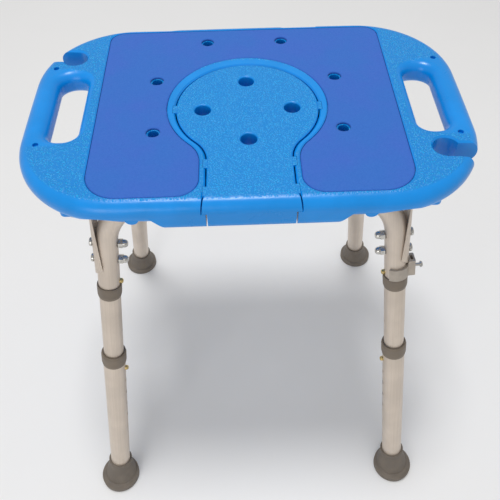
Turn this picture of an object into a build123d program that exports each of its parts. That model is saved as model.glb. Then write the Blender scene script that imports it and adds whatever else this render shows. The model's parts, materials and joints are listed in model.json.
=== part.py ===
from build123d import *
import os
from math import radians, sqrt, tan

# Height-adjustable shower chair with a blow-moulded seat, a foam pad and a lift-out front insert.
# Millimetres. The origin is on the floor, midway between the feet. +Z is up, and the front is -Y.

os.makedirs("parts", exist_ok=True)

# ---- Seat ----
SEAT_TOP = 563.0
SEAT_HEIGHT = 37.0
SEAT_BOTTOM = SEAT_TOP - SEAT_HEIGHT
SEAT_HALF_WIDTH = 248.5
SEAT_FRONT = -163.0
SEAT_BACK = 157.0
SEAT_CORNER_RADIUS = 110.0
SIDE_BOW = 2.5
FRONT_BOW = 1.0
BACK_BOW = 3.0
RIM_BOTTOM = SEAT_TOP - 29.0
RIM_TOP_RADIUS = 14.0
RIM_BOTTOM_RADIUS = 14.0
MIDDLE_HALF_WIDTH = 84.0
MIDDLE_TOP = 548.5
MIDDLE_EDGE_RADIUS = 10.0
DECK_HALF_WIDTH = 178.0
DECK_INSET = 20.0
DECK_RADIUS = 60.0
DECK_WING = (150.0, 199.0)
DECK_WING_HALF = 19.5
TOOTH_X = 120.0
TOOTH_Z = 543.5
TOOTH_RADIUS = 7.0
TOOTH_REACH = 30.0
ARCH_X = 152.0
ARCH_TOP = 545.5
ARCH_RADIUS = 46.0
ARCH_DEPTH = 14.0
SKIN = 3.2
CAVITY_INSET = 12.0
CAVITY_FLOOR = RIM_BOTTOM + 4.0
CAVITY_ROOF = SEAT_TOP - 7.5
DECK_CAVITY_FLOOR = SEAT_BOTTOM + 4.0
DECK_CAVITY_INSET = 5.0
VENT_RADIUS = 3.0

# ---- Handles, one cut-out at each side ----
HANDLE_Y = 0.0
HANDLE_INNER_X = 186.6
HANDLE_OUTER_X = 220.0
HANDLE_LENGTH = 115.6
HANDLE_CORNER_RADIUS = 15.0
HANDLE_EDGE_RADIUS = 11.7
HANDLE_BOTTOM_RADIUS = 12.0
SIDE_Y = 2.0
MARK_X = 227.0
MARK_SPACING = 137.4
MARK_RADIUS = 3.3
MARK_DEPTH = 3.5

# ---- Cane notches: back left and front right, each a round end with a mouth in the side ----
NOTCH_X = 207.0
NOTCH_Y = 90.0
NOTCH_RADIUS = 14.5
MOUTH_INNER_Y = 84.0
MOUTH_OUTER_Y = 106.0
MOUTH_LEAN = 3.0
MOUTH_FLARE = 8.0
NOTCH_BREAK = 2.0

# ---- Keyhole opening and its insert ----
OPENING_Y = -13.0
OPENING_RADIUS = 81.0
NECK_HALF_WIDTH = 46.0
NECK_FLARE = 5.0
FLARE_START_Y = -138.0
THROAT_RADIUS = 39.0
INSERT_GAP = 1.5
OPENING_BREAK = 1.8
INSERT_BREAK = 1.2
LEDGE_WIDTH = 6.0
LEDGE_Z = SEAT_TOP - 14.0
INSERT_SKIN = 3.2
DRAIN_RADIUS = 9.0
DRAIN_X = 50.0
DRAIN_Y = 50.8
TAB_LENGTH = 13.0
TAB_WIDTH = 4.6
TAB_HEIGHT = 3.0
TAB_NECK_YS = (-104.0, -144.0)
RIB_ANGLES = (45.0, 135.0)
NECK_RIB_YS = (-95.0, -120.0)

# ---- Foam pad ----
PAD_THICKNESS = 3.2
PAD_RECESS = 4.0
PAD_HALF_WIDTH = 168.5
PAD_FRONT = -149.5
PAD_BACK = 145.0
PAD_RING_RADIUS = 90.0
PAD_RING_Y = -8.0
PAD_NECK_HALF_WIDTH = 52.0
PAD_THROAT_RADIUS = 40.0
PAD_FRONT_RADIUS = 35.0
PAD_BACK_RADIUS = 18.0
PAD_INNER_RADIUS = 24.0
PAD_CLEARANCE = 0.35
RECESS_BREAK = 1.2
PAD_HOLE_RADIUS = 7.6
PAD_HOLES = ((45.8, 119.1), (104.4, 41.4), (103.4, -51.0))

# ---- Legs: each leg's axis runs from the seat's underside out to its foot ----
LEG_TOP = (157.6, 123.6, 503.0)
LEG_FOOT = (217.2, 215.6, 0.0)
UPPER_RADIUS = 12.7
LOWER_RADIUS = 14.3
TUBE_WALL = 1.2
BEND_RADIUS = 63.5
ARM_Z = 531.0
ARM_END_X = 74.0
CHANNEL_END_X = 153.0
UPPER_END = 104.5
SPIGOT_TOP = 60.0
SPIGOT_RADIUS = 11.3
EXTENSION_END = 292.0
LOWER_START = 215.5
LOWER_END = 503.0
HOLE_PITCH = 25.4
HOLE_COUNT = 5
BUTTON_HOLE_RADIUS = 3.5
RELIEF_STATION = 172.0
RELIEF_RADIUS = 2.0

# ---- Leg fittings; stations are distances down the leg's axis from its top point ----
BOLT_STATIONS = (31.0, 54.0)
UPPER_BUTTON_STATION = 88.0
LOWER_BUTTON_STATION = 246.5
UPPER_COLLAR = (92.5, 110.5)
UPPER_COLLAR_RADIUS = 14.6
LOWER_COLLAR = (213.4, 234.0)
LOWER_COLLAR_RADIUS = 16.1
BUTTON_RADIUS = 3.2
BUTTON_PROUD = 4.0
BUTTON_FLANGE_RADIUS = 4.4
BUTTON_FLANGE = 1.0
SPRING_WIDTH = 6.0
SPRING_THICKNESS = 0.7
SPRING_LENGTH = 32.0
FIT = 0.05

# ---- Feet ----
FOOT_TOP = 466.0
FOOT_COLLAR_RADIUS = 17.3
FOOT_COLLAR_END = 477.0
FOOT_SHOULDER_RADIUS = 23.5
FOOT_BASE_RADIUS = 28.5
FOOT_BASE_HEIGHT = 9.0
FOOT_SHOULDER_Z = 13.0
WASHER_THICKNESS = 1.5
TREAD_RADII = (22.0, 15.0, 8.0)
TREAD_WIDTH = 2.0
TREAD_DEPTH = 1.2

# ---- Gusset bracket, strap and fasteners ----
GUSSET_THICKNESS = 1.8
GUSSET_TIP = 73.0
GUSSET_LEAN = 1.8
PLATE_THICKNESS = 2.0
PLATE_REACH = 36.0
PLATE_HALF_WIDTH = 18.0
PLATE_SCREW_X = 26.5
PLATE_SCREW_Y = 10.5
STRAP_X = (84.0, 100.0)
STRAP_EAR = 30.0
STRAP_SCREW_Y = 22.5
SCREW_RADIUS = 2.0
SCREW_LENGTH = 11.0
SCREW_HEAD_RADIUS = 4.0
SCREW_HEAD = 2.4
BOLT_RADIUS = 3.0
BOLT_HEAD_RADIUS = 5.0
BOLT_HEAD = 3.0
NUT_FLATS = 10.0
NUT_HEX = 5.0
NUT_LENGTH = 11.0

# ---- Accessory clip on the front right leg ----
CLIP_SPAN = (75.5, 91.8)
CLIP_OUTER_RADIUS = 15.6
CLIP_OPENING = 52.0
BLOCK_SPAN = (70.0, 91.8)
BLOCK_REACH = 22.0
BLOCK_HALF_WIDTH = 7.5
CLIP_SCREW_STATION = 82.5
CLIP_SCREW_RADIUS = 2.0
CLIP_SCREW_REACH = 31.5
CLIP_NUT_WIDTH = 7.0
CLIP_NUT = 2.6

CORNERS = {
    "front_right": (1, -1),
    "front_left": (-1, -1),
    "rear_right": (1, 1),
    "rear_left": (-1, 1),
}


def save(shape, name, color):
    """Write one node's STEP file."""
    shape.label = name
    shape.color = Color(*color)
    export_step(shape, f"parts/{name}.step")


def prism(sketch, low, high):
    """Extrude a flat sketch between two heights."""
    return extrude(Pos(0, 0, low) * sketch, amount=high - low)


def cylinder(x, y, radius, low, high):
    """An upright cylinder between two heights."""
    return Pos(x, y, (low + high) / 2) * Cylinder(radius, high - low)


def box(x, y, z):
    """A box from three (low, high) pairs."""
    centre = Pos((x[0] + x[1]) / 2, (y[0] + y[1]) / 2, (z[0] + z[1]) / 2)
    return centre * Box(x[1] - x[0], y[1] - y[0], z[1] - z[0])


# ---------------------------------------------------------------- seat outlines
def seat_outline(inset=0.0):
    """The seat's plan: four slightly bowed sides with large round corners."""
    side = SEAT_HALF_WIDTH - inset
    front = SEAT_FRONT + inset
    back = SEAT_BACK - inset
    middle = (SEAT_FRONT + SEAT_BACK) / 2
    corners = [
        (side - SIDE_BOW, front + FRONT_BOW),
        (side - SIDE_BOW, back - BACK_BOW),
        (-side + SIDE_BOW, back - BACK_BOW),
        (-side + SIDE_BOW, front + FRONT_BOW),
    ]
    crowns = [(side, middle), (0, back), (-side, middle), (0, front)]
    with BuildSketch() as plan:
        with BuildLine():
            for i in range(4):
                ThreePointArc(corners[i], crowns[i], corners[(i + 1) % 4])
        make_face()
        fillet(plan.vertices(), SEAT_CORNER_RADIUS - inset)
    return plan.sketch


def keyhole(inset=0.0, radius=OPENING_RADIUS, centre_y=OPENING_Y, half_width=NECK_HALF_WIDTH,
            throat=THROAT_RADIUS, flare=NECK_FLARE):
    """A circle with a neck that opens through the front edge and flares a little there."""
    neck = half_width - inset
    end_y = SEAT_FRONT - 20.0
    with BuildSketch() as plan:
        with Locations((0, centre_y)):
            Circle(radius - inset)
        with Locations((0, (centre_y + end_y) / 2)):
            Rectangle(2 * neck, centre_y - end_y)
        junctions = [v for v in plan.vertices() if end_y + 1 < v.Y < centre_y - 1]
        fillet(junctions, throat + inset)
        if flare:
            end = neck + flare * (FLARE_START_Y - end_y) / (FLARE_START_Y - SEAT_FRONT)
            with BuildLine():
                Polyline((-neck, FLARE_START_Y), (neck, FLARE_START_Y), (end, end_y),
                         (-end, end_y), close=True)
            make_face()
    return plan.sketch


def pad_outline(inset=0.0):
    """The pad's plan: a panel on each side, joined behind the opening."""
    width = 2 * (PAD_HALF_WIDTH - inset)
    front = PAD_FRONT + inset
    back = PAD_BACK - inset
    with BuildSketch() as plan:
        with Locations((0, (front + back) / 2)):
            Rectangle(width, back - front)
        fillet([v for v in plan.vertices() if v.Y > 0], PAD_BACK_RADIUS - inset)
        fillet([v for v in plan.vertices() if v.Y < front + 1], PAD_FRONT_RADIUS - inset)
        add(keyhole(-inset, PAD_RING_RADIUS, PAD_RING_Y, PAD_NECK_HALF_WIDTH,
                    PAD_THROAT_RADIUS, 0.0), mode=Mode.SUBTRACT)
        inner = [v for v in plan.vertices() if v.Y < front + 1 and abs(v.X) < PAD_NECK_HALF_WIDTH + 3]
        fillet(inner, PAD_INNER_RADIUS - inset)
    return plan.sketch


def handle_outline(side):
    """One handle cut-out, with round corners."""
    width = HANDLE_OUTER_X - HANDLE_INNER_X
    centre = Pos(side * (HANDLE_OUTER_X + HANDLE_INNER_X) / 2, HANDLE_Y)
    return centre * RectangleRounded(width, HANDLE_LENGTH, HANDLE_CORNER_RADIUS)


def notch_outline(side, inset=0.0):
    """One cane notch; the right one is at the front and the left one at the back."""
    y_sign = -side
    outside = SEAT_HALF_WIDTH + 20.0
    inner_y = MOUTH_INNER_Y + inset
    outer_y = MOUTH_OUTER_Y - inset
    with BuildSketch() as plan:
        with Locations((side * NOTCH_X, y_sign * NOTCH_Y)):
            Circle(NOTCH_RADIUS - inset)
        with BuildLine():
            Polyline(
                (side * NOTCH_X, y_sign * inner_y),
                (side * outside, y_sign * (inner_y + MOUTH_LEAN)),
                (side * outside, y_sign * (outer_y + MOUTH_FLARE)),
                (side * (NOTCH_X + NOTCH_RADIUS), y_sign * outer_y),
                (side * NOTCH_X, y_sign * (NOTCH_Y + NOTCH_RADIUS - inset)),
                close=True,
            )
        make_face()
    return Pos(0, SIDE_Y) * plan.sketch


def at_height(shape, z, reach=0.01):
    """The edges of a shape that lie flat at one height."""
    return [e for e in shape.edges() if abs(e.bounding_box().min.Z - z) < reach
            and abs(e.bounding_box().max.Z - z) < reach]


# ---------------------------------------------------------------- seat
def deep_middle():
    """The part of the seat that hangs lower between the legs, from front to back."""
    spread = MIDDLE_HALF_WIDTH + MIDDLE_TOP - SEAT_BOTTOM
    section = Plane.XZ * make_face(Polyline(
        (-MIDDLE_HALF_WIDTH, SEAT_BOTTOM), (MIDDLE_HALF_WIDTH, SEAT_BOTTOM),
        (spread, MIDDLE_TOP), (-spread, MIDDLE_TOP), close=True))
    bar = extrude(section, amount=200.0, both=True)
    middle = bar & prism(seat_outline(), SEAT_BOTTOM, MIDDLE_TOP)
    ends = [e for e in at_height(middle, SEAT_BOTTOM) if abs(e.center().Y) > 120.0]
    return fillet(ends, MIDDLE_EDGE_RADIUS)


def deck_outline(inset=0.0):
    """The plan of the flat underside, with a wing at each corner for a leg's bracket."""
    front = SEAT_FRONT + DECK_INSET + inset
    back = SEAT_BACK - DECK_INSET - inset
    half = DECK_HALF_WIDTH - inset
    radius = DECK_RADIUS - inset
    plan = Pos(0, (front + back) / 2) * RectangleRounded(2 * half, back - front, radius)
    x = (DECK_WING[0] + DECK_WING[1] - inset) / 2
    size = (DECK_WING[1] - DECK_WING[0] - inset, 2 * (DECK_WING_HALF - inset))
    for sx, sy in CORNERS.values():
        plan += Pos(sx * x, sy * arm_y()) * RectangleRounded(*size, 6.0)
    return plan


def front_teeth():
    """Small rounded ribs under the rim, beside each leg."""
    teeth = []
    for sx, sy in CORNERS.values():
        edge = SEAT_FRONT + 1.5 if sy < 0 else SEAT_BACK - 3.0
        bar = Rot(90, 0, 0) * Cylinder(TOOTH_RADIUS, TOOTH_REACH)
        teeth.append(Pos(sx * TOOTH_X, edge - sy * TOOTH_REACH / 2, TOOTH_Z) * bar)
    return teeth


def rim_arch(sx, sy):
    """The shallow arch in the underside of the rim where a leg passes."""
    edge = SEAT_FRONT if sy < 0 else SEAT_BACK
    centre = Pos(sx * ARCH_X, edge, ARCH_TOP - ARCH_RADIUS)
    return centre * Rot(90, 0, 0) * Cylinder(ARCH_RADIUS, 2 * ARCH_DEPTH)


def seat_blank():
    """The seat's outer form with its rounded rim, before any opening is cut."""
    blank = prism(seat_outline(), RIM_BOTTOM, SEAT_TOP)
    blank = fillet(at_height(blank, SEAT_TOP), RIM_TOP_RADIUS)
    blank = fillet(at_height(blank, RIM_BOTTOM), RIM_BOTTOM_RADIUS)
    for sx, sy in CORNERS.values():
        blank -= rim_arch(sx, sy)
    for tooth in front_teeth():
        blank += tooth
    blank += deep_middle()
    return blank + prism(deck_outline(), SEAT_BOTTOM, RIM_BOTTOM + 1.0)


def arm_y():
    """How far from the centre line each leg's arm lies under the seat."""
    share = (ARM_Z - LEG_TOP[2]) / (LEG_FOOT[2] - LEG_TOP[2])
    return LEG_TOP[1] + (LEG_FOOT[1] - LEG_TOP[1]) * share


def arm_channel(sx, sy, margin=0.0):
    """The moulded channel that takes the arm of one leg under the seat."""
    half = UPPER_RADIUS + 1.2 + margin
    x = sorted((sx * (ARM_END_X - 4.0 - margin), sx * (CHANNEL_END_X + margin)))
    y = (sy * arm_y() - half, sy * arm_y() + half)
    return box(x, y, (SEAT_BOTTOM - 1.0, ARM_Z + UPPER_RADIUS + 1.0 + margin))


def strap_screw_points():
    """The plan positions of the screws that hold the straps."""
    x = sum(STRAP_X) / 2
    return [(sx * x, sy * (arm_y() + side * STRAP_SCREW_Y))
            for sx, sy in CORNERS.values() for side in (-1, 1)]


def gusset_screw_points():
    """The plan positions of the screws that hold the gusset plates."""
    x, y, _ = gusset_root()
    return [(sx * (x + PLATE_SCREW_X), sy * (y + side * PLATE_SCREW_Y))
            for sx, sy in CORNERS.values() for side in (-1, 1)]


def seat_cavity():
    """The hollow inside the seat: it stays clear of every opening, channel and screw."""
    low = DECK_CAVITY_FLOOR - 1
    high = CAVITY_ROOF + 1
    hollow = prism(seat_outline(CAVITY_INSET), CAVITY_FLOOR, CAVITY_ROOF)
    hollow += prism(deck_outline(DECK_CAVITY_INSET), DECK_CAVITY_FLOOR, CAVITY_FLOOR + 1)
    hollow -= prism(keyhole(-SKIN), low, high)
    for side in (-1, 1):
        hollow -= prism(offset(handle_outline(side), SKIN + HANDLE_EDGE_RADIUS / 2), low, high)
        hollow -= prism(offset(notch_outline(side), SKIN + 1), low, high)
        for x, y in PAD_HOLES:
            hollow -= cylinder(side * x, y, PAD_HOLE_RADIUS - 1.5 + SKIN, low, high)
    for sx, sy in CORNERS.values():
        hollow -= arm_channel(sx, sy, SKIN)
    for x, y in strap_screw_points() + gusset_screw_points():
        hollow -= cylinder(x, y, SCREW_RADIUS + SKIN, low, SEAT_BOTTOM + SCREW_LENGTH + SKIN)
    return max(hollow.solids(), key=lambda s: s.volume)


def tab_places(side):
    """Centre and turn of the locating tabs along one side of the insert."""
    edge = NECK_HALF_WIDTH
    places = [(side * edge, y) for y in TAB_NECK_YS]
    places.append((side * OPENING_RADIUS, OPENING_Y - 1.0))
    return places


def tab_blocks(extra=0.0):
    """The locating tabs that stand out of the insert's edge, or with extra, their seats."""
    width = TAB_WIDTH + 2 * extra
    length = TAB_LENGTH + 2 * extra
    blocks = []
    for side in (-1, 1):
        for x, y in tab_places(side):
            blocks.append(box((x - width / 2, x + width / 2), (y - length / 2, y + length / 2),
                              (SEAT_TOP - TAB_HEIGHT - extra, SEAT_TOP + (1.0 if extra else -0.2))))
    return blocks


def near_handles(shape, z):
    """The edges of both handle cut-outs at one height."""
    half = HANDLE_LENGTH / 2 + 1
    return [e for e in at_height(shape, z)
            if HANDLE_INNER_X - 1 < abs(e.center().X) < HANDLE_OUTER_X + 1
            and abs(e.center().Y - HANDLE_Y) < half]


def edge_break(outline, depth):
    """A bevelled cutter that softens the top edge of an opening; outline takes an inset."""
    low = Pos(0, 0, SEAT_TOP - depth) * outline(0.0)
    high = Pos(0, 0, SEAT_TOP + depth) * outline(-2 * depth)
    return loft([low.face(), high.face()], ruled=True)


def make_seat(blank):
    """The hollow seat shell."""
    seat = blank
    for side in (-1, 1):
        seat -= prism(handle_outline(side), SEAT_BOTTOM - 1, SEAT_TOP + 1)
    seat = fillet(near_handles(seat, SEAT_TOP), HANDLE_EDGE_RADIUS)
    seat = fillet(near_handles(seat, RIM_BOTTOM), HANDLE_BOTTOM_RADIUS)
    seat -= prism(keyhole(), LEDGE_Z, SEAT_TOP + 1)
    front_block = Pos(0, FLARE_START_Y - 40.0) * Rectangle(2 * NECK_HALF_WIDTH, 80.0)
    seat -= prism(keyhole(LEDGE_WIDTH, flare=0.0) + front_block, SEAT_BOTTOM - 1, LEDGE_Z + 0.01)
    seat -= edge_break(keyhole, OPENING_BREAK)
    for side in (-1, 1):
        seat -= prism(notch_outline(side), SEAT_BOTTOM - 1, SEAT_TOP + 1)
        seat -= edge_break(lambda inset: notch_outline(side, inset), NOTCH_BREAK)
    seat -= prism(pad_outline(), SEAT_TOP - PAD_RECESS, SEAT_TOP + 1)
    seat -= edge_break(pad_outline, RECESS_BREAK)
    for side in (-1, 1):
        for x, y in PAD_HOLES:
            seat -= cylinder(side * x, y, PAD_HOLE_RADIUS - 1.5, SEAT_BOTTOM - 1, SEAT_TOP)
    for block in tab_blocks(0.3):
        seat -= block
    for sx, sy in CORNERS.values():
        seat -= arm_channel(sx, sy)
        seat -= cylinder(sx * MARK_X, SIDE_Y + sy * MARK_SPACING / 2, MARK_RADIUS,
                         SEAT_TOP - MARK_DEPTH, SEAT_TOP + 1)
    for x, y in strap_screw_points() + gusset_screw_points():
        seat -= cylinder(x, y, SCREW_RADIUS + FIT, SEAT_BOTTOM - 1, SEAT_BOTTOM + SCREW_LENGTH)
    seat -= seat_cavity()
    vent_y = SEAT_BACK - 24.0
    seat -= cylinder(0, vent_y, VENT_RADIUS, SEAT_BOTTOM - 1, CAVITY_FLOOR + 1)
    return seat


def make_insert(blank):
    """The lift-out insert: a ribbed tray that fills the keyhole and carries its own front rim."""
    low = SEAT_TOP - INSERT_BREAK
    bevel = loft([(Pos(0, 0, low) * keyhole(INSERT_GAP)).face(),
                  (Pos(0, 0, SEAT_TOP + 1) * keyhole(INSERT_GAP + INSERT_BREAK + 1)).face()], ruled=True)
    top = blank & (prism(keyhole(INSERT_GAP), LEDGE_Z + 0.3, low) + bevel)
    front_block = Pos(0, FLARE_START_Y - 40.0) * Rectangle(2 * (NECK_HALF_WIDTH - INSERT_GAP), 80.0)
    plug = keyhole(LEDGE_WIDTH + INSERT_GAP, flare=0.0) + Pos(0, -1.0) * front_block
    insert = top + (blank & prism(plug, SEAT_BOTTOM, LEDGE_Z + 0.3))
    hollow = prism(keyhole(LEDGE_WIDTH + INSERT_GAP + INSERT_SKIN, flare=0.0), SEAT_BOTTOM - 1,
                   SEAT_TOP - INSERT_SKIN - 0.5)
    hollow &= box((-100, 100), (SEAT_FRONT + 9.0, 100), (SEAT_BOTTOM - 1, SEAT_TOP))
    for x, y in drain_points():
        hollow -= cylinder(x, y, DRAIN_RADIUS + 2.5, SEAT_BOTTOM + 6.0, SEAT_TOP)
    for angle in RIB_ANGLES:
        rib = Pos(0, OPENING_Y, 0) * Rot(0, 0, angle) * box((-80, 80), (-1.25, 1.25),
                                                            (SEAT_BOTTOM + 6.0, SEAT_TOP))
        hollow -= rib
    for y in NECK_RIB_YS:
        hollow -= box((-60, 60), (y - 1.25, y + 1.25), (SEAT_BOTTOM + 6.0, SEAT_TOP))
    insert -= hollow
    for x, y in drain_points():
        insert -= cylinder(x, y, DRAIN_RADIUS, SEAT_BOTTOM - 1, SEAT_TOP + 1)
    insert = fillet([e for e in at_height(insert, SEAT_TOP) if e.geom_type == GeomType.CIRCLE
                     and abs(e.radius - DRAIN_RADIUS) < 0.1], 1.8)
    for block in tab_blocks():
        insert += block
    return insert


def drain_points():
    """The insert's four drain holes."""
    return [(DRAIN_X, OPENING_Y - 3.3), (-DRAIN_X, OPENING_Y - 3.3),
            (0, OPENING_Y - 3.3 + DRAIN_Y), (0, OPENING_Y - 3.3 - DRAIN_Y)]


def make_pad():
    """The foam pad, with its drain holes and a softened top edge."""
    low = SEAT_TOP - PAD_RECESS
    pad = prism(pad_outline(PAD_CLEARANCE), low, low + PAD_THICKNESS)
    for side in (-1, 1):
        for x, y in PAD_HOLES:
            pad -= cylinder(side * x, y, PAD_HOLE_RADIUS, low - 1, low + PAD_THICKNESS + 1)
    return pad


def gusset_root():
    """Where the leg's straight axis, carried on upwards, meets the seat's underside."""
    share = (SEAT_BOTTOM - LEG_TOP[2]) / (LEG_FOOT[2] - LEG_TOP[2])
    return tuple(a + (b - a) * share for a, b in zip(LEG_TOP, LEG_FOOT))


# ---------------------------------------------------------------- legs
# One leg is made at the front right, in a local frame whose Z runs down the leg's axis and whose
# X points inwards, then placed. The other three are its mirror images.
FOOT_POINT = Vector(LEG_FOOT[0], -LEG_FOOT[1], LEG_FOOT[2])
TOP_POINT = Vector(LEG_TOP[0], -LEG_TOP[1], LEG_TOP[2])
LEG_DOWN = (FOOT_POINT - TOP_POINT).normalized()
INWARD = Vector(-1, 0, 0) - LEG_DOWN * Vector(-1, 0, 0).dot(LEG_DOWN)
LEG = Plane(origin=TOP_POINT, x_dir=INWARD, z_dir=LEG_DOWN).location


def ring(outer, inner, low, high):
    """A plain tube about the leg's axis between two stations."""
    return cylinder(0, 0, outer, low, high) - cylinder(0, 0, inner, low - 1, high + 1)


def turned(points, corner=0.0):
    """A body turned about the leg's axis from a (radius, station) outline."""
    with BuildSketch(Plane.XZ) as outline:
        with BuildLine():
            Polyline(*points, close=True)
        make_face()
        if corner:
            fillet(outline.vertices(), corner)
    return revolve(outline.sketch, Axis.Z)


def across(radius, station, start, end):
    """A round bar across the leg, along local X."""
    return Pos((start + end) / 2, 0, station) * Rot(0, 90, 0) * Cylinder(radius, end - start)


def round_end(bar, axis, index, radius):
    """Round the edges of a bar's first (0) or last (-1) face along an axis."""
    return bar.fillet(radius, bar.faces().sort_by(axis)[index].edges())


def to_corner(shape, sx, sy):
    """Carry a front-right shape to another corner."""
    if sx < 0:
        shape = mirror(shape, about=Plane.YZ)
    if sy > 0:
        shape = mirror(shape, about=Plane.XZ)
    return shape


def make_upper_leg():
    """The bent upper tube: a straight leg, one bend and an arm under the seat."""
    bottom = (LEG * Pos(0, 0, UPPER_END)).position
    share = (ARM_Z - LEG_TOP[2]) / (LEG_FOOT[2] - LEG_TOP[2])
    corner = TOP_POINT + (FOOT_POINT - TOP_POINT) * share
    end = Vector(ARM_END_X, corner.Y, corner.Z)
    path = FilletPolyline(bottom, corner, end, radius=BEND_RADIUS)
    tube = Circle(UPPER_RADIUS) - Circle(UPPER_RADIUS - TUBE_WALL)
    leg = sweep((path ^ 0) * tube, path=path)
    for station in BOLT_STATIONS:
        leg -= LEG * across(BOLT_RADIUS + FIT, station, -20, 20)
    return leg - LEG * across(BUTTON_HOLE_RADIUS, UPPER_BUTTON_STATION, 5, 20)


def make_upper_collar():
    """The trim collar over the joint between the upper tube and the extension."""
    low, high = UPPER_COLLAR
    outer = UPPER_COLLAR_RADIUS
    body = turned([(UPPER_RADIUS - 2, low), (outer - 0.4, low), (outer, low + 2.5),
                   (outer - 0.2, high - 4), (outer - 1.0, high), (UPPER_RADIUS - 2, high)], 0.35)
    body -= cylinder(0, 0, UPPER_RADIUS + FIT, low - 1, UPPER_END)
    return LEG * (body - cylinder(0, 0, UPPER_RADIUS + 0.3, UPPER_END - 0.01, high + 1))


def make_extension():
    """The extension tube: its reduced top plugs into the upper leg."""
    body = ring(UPPER_RADIUS, UPPER_RADIUS - TUBE_WALL, UPPER_END + 1.6, EXTENSION_END)
    body += ring(UPPER_RADIUS, SPIGOT_RADIUS - TUBE_WALL, UPPER_END + 0.3, UPPER_END + 1.6)
    body += ring(SPIGOT_RADIUS, SPIGOT_RADIUS - TUBE_WALL, SPIGOT_TOP, UPPER_END + 0.3)
    for station in (UPPER_BUTTON_STATION, LOWER_BUTTON_STATION):
        body -= across(BUTTON_HOLE_RADIUS, station, 5, 20)
    return LEG * (body - across(RELIEF_RADIUS, RELIEF_STATION, 5, 20))


def make_lower_leg():
    """The lower tube with its row of height holes."""
    body = ring(LOWER_RADIUS, LOWER_RADIUS - TUBE_WALL, LOWER_START, LOWER_END)
    for i in range(HOLE_COUNT):
        body -= across(BUTTON_HOLE_RADIUS, LOWER_BUTTON_STATION + i * HOLE_PITCH, 5, 20)
    return LEG * body


def make_lower_collar():
    """The guide collar at the top of the lower tube."""
    low, high = LOWER_COLLAR
    outer = LOWER_COLLAR_RADIUS
    body = turned([(UPPER_RADIUS - 2, low), (outer - 0.8, low), (outer, low + 3.5),
                   (outer - 0.1, high - 5), (outer - 1.0, high), (UPPER_RADIUS - 2, high)], 0.4)
    body -= cylinder(0, 0, UPPER_RADIUS + 0.8, low - 1, LOWER_START)
    return LEG * (body - cylinder(0, 0, LOWER_RADIUS + FIT, LOWER_START - 0.01, high + 1))


def make_button(station, tube_radius, bore):
    """A snap button: a domed pin on a flange that bears on the inside of the tube."""
    flange_face = sqrt(bore ** 2 - BUTTON_FLANGE_RADIUS ** 2) - 0.25
    tip = tube_radius + BUTTON_PROUD
    pin = across(BUTTON_RADIUS, station, flange_face - BUTTON_FLANGE, tip)
    pin = round_end(pin, Axis.X, -1, BUTTON_RADIUS * 0.8)
    return LEG * (pin + across(BUTTON_FLANGE_RADIUS, station, flange_face - BUTTON_FLANGE, flange_face))


def make_spring(station, bore, direction):
    """The V-shaped leaf behind a snap button."""
    start = sqrt(bore ** 2 - BUTTON_FLANGE_RADIUS ** 2) - 0.25 - BUTTON_FLANGE - 0.5
    back = sqrt(bore ** 2 - (SPRING_WIDTH / 2) ** 2) - 0.5
    ends = station - direction * 5.0
    line = FilletPolyline((start, ends), (0.5, station + direction * SPRING_LENGTH), (-back, ends),
                          radius=2.0)
    strip = trace(line, line_width=SPRING_THICKNESS)
    return LEG * extrude(Plane.XZ * strip, amount=SPRING_WIDTH / 2, both=True)


def make_foot():
    """The rubber ferrule: a collar square to the leg that flares into a flat round base."""
    centre = LEG * Pos(0, 0, FOOT_COLLAR_END - 2.0)
    axis_low = TOP_POINT + LEG_DOWN * ((LEG_TOP[2] - FOOT_SHOULDER_Z) / -LEG_DOWN.Z)
    skirt = loft([centre * Circle(FOOT_COLLAR_RADIUS - 0.3),
                  Pos(axis_low) * Circle(FOOT_SHOULDER_RADIUS)])
    with BuildSketch(Plane.XZ) as outline:
        with BuildLine():
            Polyline((0, 0), (FOOT_BASE_RADIUS - 0.8, 0), (FOOT_BASE_RADIUS, 1.5),
                     (FOOT_BASE_RADIUS, FOOT_BASE_HEIGHT), (FOOT_BASE_RADIUS - 2.5, FOOT_BASE_HEIGHT + 1.5),
                     (FOOT_SHOULDER_RADIUS, FOOT_SHOULDER_Z), (0, FOOT_SHOULDER_Z), close=True)
        make_face()
    base = Pos(FOOT_POINT.X, FOOT_POINT.Y, 0) * revolve(outline.sketch, Axis.Z)
    foot = base + skirt + LEG * cylinder(0, 0, FOOT_COLLAR_RADIUS, FOOT_TOP, FOOT_COLLAR_END)
    foot -= LEG * cylinder(0, 0, LOWER_RADIUS + FIT, FOOT_TOP - 1, LOWER_END + WASHER_THICKNESS + 2 * FIT)
    for radius in TREAD_RADII:
        groove = Pos(FOOT_POINT.X, FOOT_POINT.Y, 0) * ring(radius, radius - TREAD_WIDTH, -1, TREAD_DEPTH)
        foot -= groove
    return foot


def make_foot_washer():
    """The steel disc inside the foot, under the end of the tube."""
    return LEG * cylinder(0, 0, LOWER_RADIUS - 0.5, LOWER_END + FIT, LOWER_END + FIT + WASHER_THICKNESS)


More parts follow.
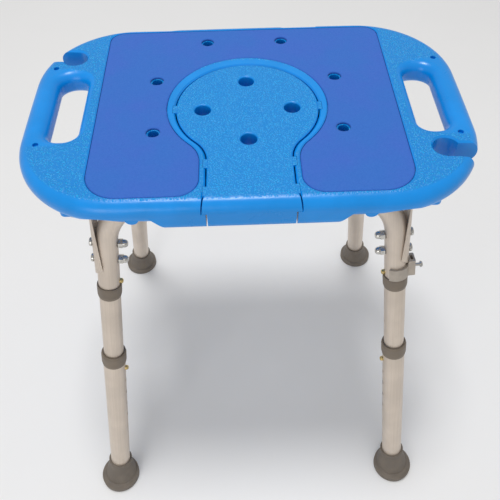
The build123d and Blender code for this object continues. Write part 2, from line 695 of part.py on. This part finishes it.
# ---------------------------------------------------------------- gusset, strap and fasteners
def make_gusset():
    """The pressed bracket: half a shell on the outside of the leg, rising to a screwed plate."""
    shell = ring(UPPER_RADIUS + 0.2 + GUSSET_THICKNESS, UPPER_RADIUS + 0.2, -60, GUSSET_TIP)
    side = make_face(Polyline((-30, -60), (-12.5, -60), (-11.5, -20), (-3.5, 62), (-3.5, 80), (-30, 80),
                              close=True))
    shell &= extrude(Plane.XZ * side, amount=30, both=True)
    tip = GUSSET_TIP - 13.0
    face = Pos(0, (tip - 60) / 2) * Rectangle(30, tip + 60) + Pos(0, tip) * Circle(13.0)
    shell &= extrude(Plane.YZ * face, amount=-30)
    lean = Pos(0, 0, GUSSET_TIP) * Rot(0, GUSSET_LEAN, 0) * Pos(0, 0, -GUSSET_TIP)
    shell = LEG * (lean * shell)
    x, y, _ = gusset_root()
    shell &= box((x - 40, x + 60), (-y - 60, -y + 60), (0, SEAT_BOTTOM - FIT))
    plate = box((x + 8.0, x + PLATE_REACH), (-y - PLATE_HALF_WIDTH, -y + PLATE_HALF_WIDTH),
                (SEAT_BOTTOM - FIT - PLATE_THICKNESS, SEAT_BOTTOM - FIT))
    plate = fillet([e for e in plate.edges() if e.center().X > x + PLATE_REACH - 1
                    and abs(e.length - PLATE_THICKNESS) < 0.01], 6.0)
    gusset = shell + plate
    for station in BOLT_STATIONS:
        gusset -= LEG * across(BOLT_RADIUS + FIT, station, -30, 0)
    for sign in (-1, 1):
        gusset -= cylinder(x + PLATE_SCREW_X, -y + sign * PLATE_SCREW_Y, SCREW_RADIUS + FIT,
                           SEAT_BOTTOM - 10, SEAT_BOTTOM + 1)
    return gusset


def bolt_seat(station):
    """How far out from the leg's axis a bolt's head sits on the leaning gusset."""
    lean = (GUSSET_TIP - station) * tan(radians(GUSSET_LEAN))
    return UPPER_RADIUS + 0.2 + GUSSET_THICKNESS + lean + 0.2


def make_bolts():
    """The pair of bolts through one leg, with low round heads on the outside."""
    bolts = []
    for station in BOLT_STATIONS:
        seat = bolt_seat(station)
        head = across(BOLT_HEAD_RADIUS, station, -seat - BOLT_HEAD, -seat)
        head = round_end(head, Axis.X, 0, BOLT_HEAD * 0.6)
        bolts.append(LEG * (head + across(BOLT_RADIUS, station, -seat - 1, UPPER_RADIUS + NUT_LENGTH - 4)))
    return bolts


def make_nuts():
    """The pair of domed nuts on the inside of one leg."""
    nuts = []
    start = UPPER_RADIUS + FIT
    for station in BOLT_STATIONS:
        place = Pos(start, 0, station) * Rot(0, 90, 0)
        hexagon = extrude(RegularPolygon(NUT_FLATS / 2, 6, major_radius=False), amount=NUT_HEX)
        dome = round_end(cylinder(0, 0, NUT_FLATS / 2 - 0.5, 0, NUT_LENGTH), Axis.Z, -1, NUT_FLATS / 2 - 1.0)
        nut = hexagon + dome - Cylinder(BOLT_RADIUS + FIT, 2 * (NUT_LENGTH - 3.5))
        nuts.append(LEG * (place * nut))
    return nuts


def make_strap():
    """The saddle strap that holds the arm up in its channel."""
    y = -arm_y()
    across_x = (STRAP_X[0], STRAP_X[1])
    centre = Pos(sum(STRAP_X) / 2, y, ARM_Z) * Rot(0, 90, 0)
    wide = STRAP_X[1] - STRAP_X[0]
    band = centre * Cylinder(UPPER_RADIUS + 2.2, wide)
    band &= box(across_x, (y - 20, y + 20), (0, SEAT_BOTTOM - FIT))
    ears = box(across_x, (y - STRAP_EAR, y + STRAP_EAR), (SEAT_BOTTOM - FIT - PLATE_THICKNESS,
                                                          SEAT_BOTTOM - FIT))
    ears = fillet([e for e in ears.edges() if abs(e.length - PLATE_THICKNESS) < 0.01], 5.0)
    strap = band + ears - centre * Cylinder(UPPER_RADIUS + FIT, wide + 2)
    for sign in (-1, 1):
        strap -= cylinder(sum(STRAP_X) / 2, y + sign * STRAP_SCREW_Y, SCREW_RADIUS + FIT,
                          SEAT_BOTTOM - 10, SEAT_BOTTOM + 1)
    return strap


def make_screw(x, y):
    """A pan-head screw driven up into the seat, with a cross recess."""
    low = SEAT_BOTTOM - FIT - PLATE_THICKNESS
    head = round_end(cylinder(x, y, SCREW_HEAD_RADIUS, low - SCREW_HEAD, low), Axis.Z, 0, SCREW_HEAD * 0.7)
    recess = box((x - 2.2, x + 2.2), (y - 0.5, y + 0.5), (low - SCREW_HEAD - 1, low - SCREW_HEAD + 1.1))
    recess += box((x - 0.5, x + 0.5), (y - 2.2, y + 2.2), (low - SCREW_HEAD - 1, low - SCREW_HEAD + 1.1))
    return head + cylinder(x, y, SCREW_RADIUS, low - 0.5, low + SCREW_LENGTH) - recess


# ---------------------------------------------------------------- accessory clip
def make_clip():
    """The clamp on the front right leg: an open ring with a block that takes a screw and nut."""
    low, high = CLIP_SPAN
    inner = UPPER_RADIUS + 0.3
    clip = cylinder(0, 0, CLIP_OUTER_RADIUS, low, high)
    block = box((-BLOCK_REACH, -inner), (-BLOCK_HALF_WIDTH, BLOCK_HALF_WIDTH), BLOCK_SPAN)
    block = fillet(block.edges().filter_by(Axis.Z).group_by(Axis.X)[0], 1.5)
    block -= cylinder(0, 0, UPPER_RADIUS + GUSSET_THICKNESS + 0.9, BLOCK_SPAN[0] - 1, low)
    clip += block
    clip -= cylinder(0, 0, inner, BLOCK_SPAN[0] - 1, high + 1)
    reach = 40.0
    half = reach * tan(radians(CLIP_OPENING))
    wedge = make_face(Polyline((0, 0), (reach, -half), (reach, half), close=True))
    clip -= prism(wedge, BLOCK_SPAN[0] - 1, high + 1)
    pocket = (-inner - 4.4 - CLIP_NUT, -inner - 4.0)
    clip -= box(pocket, (-CLIP_NUT_WIDTH / 2 - 0.2, CLIP_NUT_WIDTH / 2 + 0.2),
                (BLOCK_SPAN[0] - 1, CLIP_SCREW_STATION + CLIP_NUT_WIDTH / 2 + 0.2))
    return LEG * (clip - across(CLIP_SCREW_RADIUS + FIT, CLIP_SCREW_STATION, -BLOCK_REACH - 2, -inner + 1))


def make_clip_nut():
    """The square nut held in the block's pocket."""
    start = -UPPER_RADIUS - 0.3 - 4.2
    half = CLIP_NUT_WIDTH / 2
    nut = box((start - CLIP_NUT, start), (-half, half), (CLIP_SCREW_STATION - half, CLIP_SCREW_STATION + half))
    return LEG * (nut - across(CLIP_SCREW_RADIUS + FIT, CLIP_SCREW_STATION, start - 10, start + 5))


def make_clip_screw():
    """The clamping screw, whose round head stands clear of the block."""
    head = across(3.7, CLIP_SCREW_STATION, -CLIP_SCREW_REACH, -CLIP_SCREW_REACH + 3.0)
    head = round_end(head, Axis.X, 0, 1.8)
    return LEG * (head + across(CLIP_SCREW_RADIUS, CLIP_SCREW_STATION, -CLIP_SCREW_REACH + 1,
                                -UPPER_RADIUS - 0.3))


BLUE = (0.13, 0.53, 0.86)
PAD_BLUE = (0.24, 0.42, 0.80)
BEIGE = (0.78, 0.72, 0.65)
GREY = (0.40, 0.36, 0.32)
STEEL = (0.72, 0.70, 0.66)


def save_group(parts, name, color):
    """Write several alike solids as one node."""
    save(Compound(children=[s for p in parts for s in p.solids()]), name, color)


def main():
    """Build every node and write it."""
    blank = seat_blank()
    save(make_seat(blank), "seat_shell", BLUE)
    save(make_insert(blank), "seat_insert", BLUE)
    save(make_pad(), "seat_pad", PAD_BLUE)

    upper_bore = SPIGOT_RADIUS - TUBE_WALL
    lower_bore = UPPER_RADIUS - TUBE_WALL
    per_leg = {
        "upper_leg": (make_upper_leg(), BEIGE),
        "gusset": (make_gusset(), BEIGE),
        "upper_collar": (make_upper_collar(), GREY),
        "leg_extension": (make_extension(), BEIGE),
        "upper_spring": (make_spring(UPPER_BUTTON_STATION, upper_bore, 1), STEEL),
        "upper_button": (make_button(UPPER_BUTTON_STATION, UPPER_RADIUS, upper_bore), STEEL),
        "lower_spring": (make_spring(LOWER_BUTTON_STATION, lower_bore, -1), STEEL),
        "lower_button": (make_button(LOWER_BUTTON_STATION, LOWER_RADIUS, lower_bore), STEEL),
        "lower_collar": (make_lower_collar(), GREY),
        "lower_leg": (make_lower_leg(), BEIGE),
        "foot": (make_foot(), GREY),
        "foot_washer": (make_foot_washer(), STEEL),
    }
    bolts = make_bolts()
    nuts = make_nuts()
    strap = make_strap()
    all_bolts = []
    all_nuts = []
    all_straps = []
    for corner, (sx, sy) in CORNERS.items():
        for name, (shape, color) in per_leg.items():
            save(to_corner(shape, sx, sy), f"{name}_{corner}", color)
        all_bolts += [to_corner(b, sx, sy) for b in bolts]
        all_nuts += [to_corner(n, sx, sy) for n in nuts]
        all_straps.append(to_corner(strap, sx, sy))
    save_group(all_bolts, "leg_bolts", STEEL)
    save_group(all_nuts, "acorn_nuts", STEEL)
    save_group(all_straps, "tube_straps", BEIGE)
    save_group([make_screw(x, y) for x, y in strap_screw_points()], "strap_screws", STEEL)
    save_group([make_screw(x, y) for x, y in gusset_screw_points()], "gusset_screws", STEEL)
    save(make_clip(), "leg_clip", GREY)
    save(make_clip_nut(), "clip_nut", STEEL)
    save(make_clip_screw(), "clip_screw", STEEL)


main()
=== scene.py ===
import json
import math
import bpy
from mathutils import Matrix, Vector


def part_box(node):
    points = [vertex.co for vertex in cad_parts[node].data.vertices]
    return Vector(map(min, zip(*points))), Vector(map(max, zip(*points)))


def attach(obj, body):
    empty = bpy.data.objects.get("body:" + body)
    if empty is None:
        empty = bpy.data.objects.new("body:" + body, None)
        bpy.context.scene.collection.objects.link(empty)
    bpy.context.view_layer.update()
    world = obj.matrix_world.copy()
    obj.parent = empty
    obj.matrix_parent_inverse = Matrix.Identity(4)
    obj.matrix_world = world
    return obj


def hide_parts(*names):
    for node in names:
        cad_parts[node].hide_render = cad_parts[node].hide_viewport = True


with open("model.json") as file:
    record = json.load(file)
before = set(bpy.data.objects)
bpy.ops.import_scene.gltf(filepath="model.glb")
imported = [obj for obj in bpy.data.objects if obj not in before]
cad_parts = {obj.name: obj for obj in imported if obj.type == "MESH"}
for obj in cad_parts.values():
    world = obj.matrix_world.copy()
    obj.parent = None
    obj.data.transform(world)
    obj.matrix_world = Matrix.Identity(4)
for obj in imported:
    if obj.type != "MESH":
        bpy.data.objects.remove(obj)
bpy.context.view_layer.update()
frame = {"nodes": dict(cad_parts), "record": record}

MM = 0.001
OPENING_Y = -13.0 * MM
LAND_RADIUS = 91.5 * MM
BAR_X = 205.0 * MM
BAR_HALF_LENGTH = 66.0 * MM
CORNERS = ("front_right", "front_left", "rear_right", "rear_left")

# Camera: where it stands (m), how it is turned (radians) and its lens (mm on a 36 mm sensor).
CAMERA_PLACE = Vector((-0.0097, -0.581, 1.0025))
CAMERA_YAW = 0.0166
CAMERA_PITCH = 0.8842
CAMERA_ROLL = -0.0204
CAMERA_LENS = 44.99
SENSOR_WIDTH = 36.0

# Lamps: place (m), the point each is aimed at, diameter (m) and power (W).
OVERHEAD = ((-0.2, 0.1, 4.0), (0.0, 0.0, 0.5), 0.9, 66.0)
FRONT = ((-1.1, -2.6, 1.3), (0.0, 0.0, 0.3), 1.4, 16.0)
SKY_STRENGTH = 0.5
FLOOR_HALF = 6.0


# ---------------------------------------------------------------- node helpers
class Finish:
    """A Principled material under construction."""

    def __init__(self, name, colour, **sockets):
        self.material = bpy.data.materials.new(name)
        self.material.use_nodes = True
        self.tree = self.material.node_tree
        self.shader = self.tree.nodes["Principled BSDF"]
        self.place = self.node("ShaderNodeTexCoord").outputs["Object"]
        self.set("Base Color", (*colour, 1.0))
        for socket, value in sockets.items():
            self.set(socket.replace("_", " "), value)

    def set(self, socket, value):
        if isinstance(value, bpy.types.NodeSocket):
            self.tree.links.new(value, self.shader.inputs[socket])
        else:
            self.shader.inputs[socket].default_value = value

    def node(self, kind, inputs=(), **settings):
        made = self.tree.nodes.new(kind)
        for name, value in settings.items():
            setattr(made, name, value)
        for key, value in dict(inputs).items():
            if isinstance(value, bpy.types.NodeSocket):
                self.tree.links.new(value, made.inputs[key])
            else:
                made.inputs[key].default_value = value
        return made

    def math(self, operation, a, b=0.0):
        return self.node("ShaderNodeMath", {0: a, 1: b}, operation=operation).outputs[0]

    def noise(self, scale, detail=3.0, place=None, roughness=0.5):
        inputs = {"Vector": place or self.place, "Scale": scale, "Detail": detail, "Roughness": roughness}
        return self.node("ShaderNodeTexNoise", inputs).outputs["Fac"]

    def ramp(self, value, low, high, to_low=0.0, to_high=1.0):
        inputs = {"Value": value, "From Min": low, "From Max": high, "To Min": to_low, "To Max": to_high}
        return self.node("ShaderNodeMapRange", inputs, interpolation_type="SMOOTHSTEP").outputs[0]

    def mix(self, share, a, b):
        made = self.tree.nodes.new("ShaderNodeMix")
        made.data_type = "RGBA"
        for key, value in ((0, share), (6, a), (7, b)):
            if isinstance(value, bpy.types.NodeSocket):
                self.tree.links.new(value, made.inputs[key])
            else:
                made.inputs[key].default_value = value
        return made.outputs[2]

    def upward(self, low, high):
        """1 where the surface faces up, 0 where it leans away."""
        normal = self.node("ShaderNodeTexCoord").outputs["Normal"]
        return self.ramp(self.node("ShaderNodeSeparateXYZ", {0: normal}).outputs["Z"], low, high)

    def bump(self, height, distance, strength=1.0, under=None):
        inputs = {"Height": height, "Distance": distance, "Strength": strength}
        if under:
            inputs["Normal"] = under
        return self.node("ShaderNodeBump", inputs).outputs["Normal"]


def rgb(red, green, blue):
    """A colour given in 0-255 steps of the screen, as linear light."""
    steps = (c / 255 for c in (red, green, blue))
    return tuple(((c + 0.055) / 1.055) ** 2.4 if c > 0.04045 else c / 12.92 for c in steps)


def shade(colour, amount):
    return (*(min(1.0, c * amount) for c in colour), 1.0)


# ---------------------------------------------------------------- materials
def moulded_blue(name, grain_size, grain_depth, smooth_areas=None):
    """Blow-moulded plastic: a pebbled flat top, with smooth and glossier rims and walls."""
    body = rgb(0, 140, 226)
    f = Finish(name, body, Specular_IOR_Level=0.45)
    pebbled = f.upward(0.93, 0.995)
    if smooth_areas:
        pebbled = f.math("MULTIPLY", pebbled, f.math("SUBTRACT", 1.0, smooth_areas(f)))
    cells = f.node(
        "ShaderNodeTexVoronoi", {"Vector": f.place, "Scale": 1.0 / grain_size, "Smoothness": 0.35},
        feature="SMOOTH_F1").outputs["Distance"]
    stray = f.ramp(f.noise(0.45 / grain_size, 2.0), 0.3, 0.62)
    crown = f.math("MULTIPLY", f.ramp(cells, 0.1, 0.62, 1.0, 0.0), f.ramp(stray, 0.0, 1.0, 0.45, 1.0))
    fine = f.noise(2.6 / grain_size, 2.0)
    height = f.math("MULTIPLY", f.math("ADD", crown, f.math("MULTIPLY", fine, 0.3)), pebbled)
    cloud = f.noise(20.0, 4.0)
    plain = f.mix(f.ramp(cloud, 0.35, 0.68), shade(body, 0.94), shade(body, 1.05))
    # Painted light on the pebbled top: each pebble crown gets a painted highlight in lighter cyan, and
    # the hollows between them get painted shade in darker blue.
    grain = f.mix(crown, shade(body, 0.86), (*rgb(10, 172, 244), 1.0))
    f.set("Base Color", f.mix(pebbled, plain, grain))
    gloss = f.ramp(cloud, 0.3, 0.75, 0.27, 0.35)
    f.set("Roughness", f.math("ADD", gloss, f.math("MULTIPLY", pebbled, 0.05)))
    ripple = f.bump(f.noise(55.0, 3.0), 0.0005)
    f.set("Normal", f.bump(height, grain_depth, 0.85, under=ripple))
    return f.material


def smooth_seat(f):
    """1 where the seat's top has no grain: the land round the keyhole and the handle bars."""
    part = f.node("ShaderNodeSeparateXYZ", {0: f.place})
    x = f.math("ABSOLUTE", part.outputs["X"])
    y = part.outputs["Y"]
    from_centre = f.math("SUBTRACT", y, OPENING_Y)
    reach = f.math("SQRT", f.math("ADD", f.math("MULTIPLY", x, x),
                                  f.math("MULTIPLY", from_centre, from_centre)))
    land = f.ramp(reach, LAND_RADIUS - MM, LAND_RADIUS + MM, 1.0, 0.0)
    bar = f.math("MULTIPLY", f.ramp(x, BAR_X - 3 * MM, BAR_X + 3 * MM),
                 f.ramp(f.math("ABSOLUTE", y), BAR_HALF_LENGTH, BAR_HALF_LENGTH + 6 * MM, 1.0, 0.0))
    return f.math("MAXIMUM", land, bar)


def foam_blue():
    """Closed-cell foam: matt, faintly streaked, with fine open pores."""
    body = rgb(60, 104, 197)
    f = Finish("pad_foam", body, Sheen_Weight=0.08, Sheen_Roughness=0.5, Specular_IOR_Level=0.3)
    cloud = f.ramp(f.noise(14.0, 6.0, roughness=0.62), 0.36, 0.66)
    tint = f.mix(cloud, (*rgb(48, 108, 196), 1.0), (*rgb(56, 104, 197), 1.0))
    cells = f.node("ShaderNodeTexVoronoi", {"Vector": f.place, "Scale": 900.0, "Randomness": 1.0})
    pores = cells.outputs["Distance"]
    speck = f.noise(620.0, 3.0)
    f.set("Base Color", f.mix(f.ramp(speck, 0.3, 0.7, 0.0, 0.16), tint, shade(body, 0.75)))
    skin = f.bump(f.noise(110.0, 4.0), 0.0006, 0.5)
    f.set("Normal", f.bump(f.math("ADD", pores, speck), 0.0003, 0.6, under=skin))
    f.set("Roughness", f.ramp(speck, 0.3, 0.7, 0.7, 0.88))
    return f.material


def tube_metal(name, axis):
    """Satin anodised tube, with faint drawing lines along its axis."""
    body = rgb(214, 201, 187)
    f = Finish(name, body, Metallic=0.55, Roughness=0.42, Coat_Weight=0.1, Coat_Roughness=0.35)
    turn = axis.to_track_quat("Z", "Y").to_euler()
    along = f.node("ShaderNodeVectorRotate", {"Vector": f.place, "Rotation": tuple(turn)},
                   rotation_type="EULER_XYZ", invert=True).outputs[0]
    stretch = {0: along, 1: (1.0, 1.0, 0.012)}
    drawn = f.node("ShaderNodeVectorMath", stretch, operation="MULTIPLY").outputs[0]
    lines = f.noise(900.0, 3.0, drawn)
    cloud = f.noise(28.0, 4.0)
    tone = f.mix(f.ramp(cloud, 0.3, 0.7), shade(body, 0.93), shade(body, 1.04))
    f.set("Base Color", f.mix(f.ramp(lines, 0.35, 0.65, 0.0, 0.35), tone, shade(body, 0.85)))
    f.set("Roughness", f.ramp(lines, 0.3, 0.7, 0.36, 0.5))
    grain = f.bump(f.noise(1500.0, 2.0), 0.00008, 0.4)
    f.set("Normal", f.bump(lines, 0.0001, 0.35, under=grain))
    return f.material


def moulded_grey(name, body, roughness, grain):
    """Small moulded parts: a fine spark-eroded grain and slightly uneven gloss."""
    f = Finish(name, body, Roughness=roughness)
    cloud = f.noise(70.0, 4.0)
    fine = f.noise(1400.0, 2.0)
    tone = f.mix(f.ramp(cloud, 0.3, 0.7), shade(body, 0.86), shade(body, 1.1))
    f.set("Base Color", f.mix(f.ramp(fine, 0.35, 0.65, 0.0, 0.3), tone, shade(body, 0.8)))
    f.set("Roughness", f.ramp(cloud, 0.3, 0.7, roughness - 0.06, roughness + 0.08))
    f.set("Normal", f.bump(fine, grain, 0.6))
    return f.material


def plated(name, body, roughness):
    """Plated steel: bright, with faint stains and polishing marks."""
    f = Finish(name, body, Metallic=1.0, Roughness=roughness)
    stain = f.noise(160.0, 4.0)
    f.set("Base Color", f.mix(f.ramp(stain, 0.4, 0.7), (*body, 1.0), shade(body, 0.72)))
    f.set("Roughness", f.ramp(stain, 0.35, 0.7, roughness, roughness + 0.16))
    f.set("Normal", f.bump(f.noise(900.0, 2.0), 0.00006, 0.4))
    return f.material


def leg_axis(corner):
    """The direction of a leg, from its top to its foot."""
    top = sum(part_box("upper_collar_" + corner), Vector()) / 2
    low = sum(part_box("lower_collar_" + corner), Vector()) / 2
    return (low - top).normalized()


FINISHES = {
    "blue_plastic": moulded_blue("blue_plastic", 2.2 * MM, 0.9 * MM, smooth_seat),
    "insert_plastic": moulded_blue("insert_plastic", 2.0 * MM, 0.6 * MM),
    "pad_foam": foam_blue(),
    "bracket": tube_metal("bracket_metal", Vector((0.0, 0.0, 1.0))),
    "collar_plastic": moulded_grey("collar_plastic", rgb(122, 110, 96), 0.5, 0.00012),
    "foot_rubber": moulded_grey("foot_rubber", rgb(112, 103, 93), 0.62, 0.0002),
    "clip_plastic": moulded_grey("clip_plastic", rgb(178, 168, 156), 0.42, 0.0001),
    "steel": plated("plated_steel", rgb(205, 203, 198), 0.16),
    "button_metal": plated("button_metal", rgb(215, 190, 130), 0.2),
}
LEG_METAL = {c: tube_metal("leg_metal_" + c, leg_axis(c)) for c in CORNERS}


def dress(obj, material):
    obj.data.materials.clear()
    obj.data.materials.append(material)


for part in frame["record"]["subparts"]:
    node = frame["nodes"][part["node"]]
    slot = part["material_slot"]
    if slot == "leg_tube":
        corner = next(c for c in CORNERS if part["node"].endswith(c))
        dress(node, LEG_METAL[corner])
    else:
        dress(node, FINISHES[slot])


# ---------------------------------------------------------------- foam pad
PAD_VOXEL = 1.2 * MM
PAD_SMOOTHING = 0.6
PAD_SMOOTHING_STEPS = 4


def make_pad():
    """The foam sheet: the CAD solid remeshed, with its edges softened."""
    pad = bpy.data.objects.new("foam_pad", frame["nodes"]["seat_pad"].data.copy())
    bpy.context.scene.collection.objects.link(pad)
    remesh = pad.modifiers.new("even", "REMESH")
    remesh.mode = "VOXEL"
    remesh.voxel_size = PAD_VOXEL
    smooth = pad.modifiers.new("soften", "SMOOTH")
    smooth.factor = PAD_SMOOTHING
    smooth.iterations = PAD_SMOOTHING_STEPS
    bpy.context.view_layer.update()
    evaluated = pad.evaluated_get(bpy.context.evaluated_depsgraph_get())
    mesh = bpy.data.meshes.new_from_object(evaluated)
    pad.modifiers.clear()
    pad.data = mesh
    mesh.shade_smooth()
    dress(pad, FINISHES["pad_foam"])
    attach(pad, "seat")
    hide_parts("seat_pad")


make_pad()


# ---------------------------------------------------------------- stage, light and camera
def make_floor():
    mesh = bpy.data.meshes.new("floor")
    corners = [(x * FLOOR_HALF, y * FLOOR_HALF, 0.0) for x, y in ((-1, -1), (1, -1), (1, 1), (-1, 1))]
    mesh.from_pydata(corners, [], [(0, 1, 2, 3)])
    floor = bpy.data.objects.new("floor", mesh)
    bpy.context.scene.collection.objects.link(floor)
    f = Finish("pale_floor", (0.86, 0.86, 0.86), Roughness=0.7)
    f.set("Base Color", f.mix(f.noise(3.0), (0.85, 0.85, 0.85, 1.0), (0.88, 0.88, 0.88, 1.0)))
    dress(floor, f.material)


def make_light(name, place, target, size, power):
    data = bpy.data.lights.new(name, "AREA")
    data.shape = "DISK"
    data.size = size
    data.energy = power
    lamp = bpy.data.objects.new(name, data)
    bpy.context.scene.collection.objects.link(lamp)
    lamp.location = place
    lamp.rotation_euler = (Vector(target) - Vector(place)).to_track_quat("-Z", "Y").to_euler()


def make_world():
    world = bpy.data.worlds.new("studio")
    world.use_nodes = True
    sky = world.node_tree.nodes["Background"]
    sky.inputs["Color"].default_value = (1.0, 0.99, 0.98, 1.0)
    sky.inputs["Strength"].default_value = SKY_STRENGTH
    bpy.context.scene.world = world


def make_camera():
    ahead = Vector((
        math.sin(CAMERA_YAW) * math.cos(CAMERA_PITCH),
        math.cos(CAMERA_YAW) * math.cos(CAMERA_PITCH),
        -math.sin(CAMERA_PITCH)))
    right = Vector((math.cos(CAMERA_YAW), -math.sin(CAMERA_YAW), 0.0))
    up = right.cross(ahead)
    rolled_right = math.cos(CAMERA_ROLL) * right + math.sin(CAMERA_ROLL) * up
    rolled_up = math.cos(CAMERA_ROLL) * up - math.sin(CAMERA_ROLL) * right
    data = bpy.data.cameras.new("camera")
    data.lens = CAMERA_LENS
    data.sensor_width = SENSOR_WIDTH
    camera = bpy.data.objects.new("camera", data)
    bpy.context.scene.collection.objects.link(camera)
    turn = Matrix((rolled_right, rolled_up, -ahead)).transposed()
    camera.matrix_world = Matrix.Translation(CAMERA_PLACE) @ turn.to_4x4()
    bpy.context.scene.camera = camera


make_floor()
make_world()
make_light("overhead", *OVERHEAD)
make_light("front", *FRONT)
make_camera()
bpy.context.scene.view_settings.view_transform = "Standard"
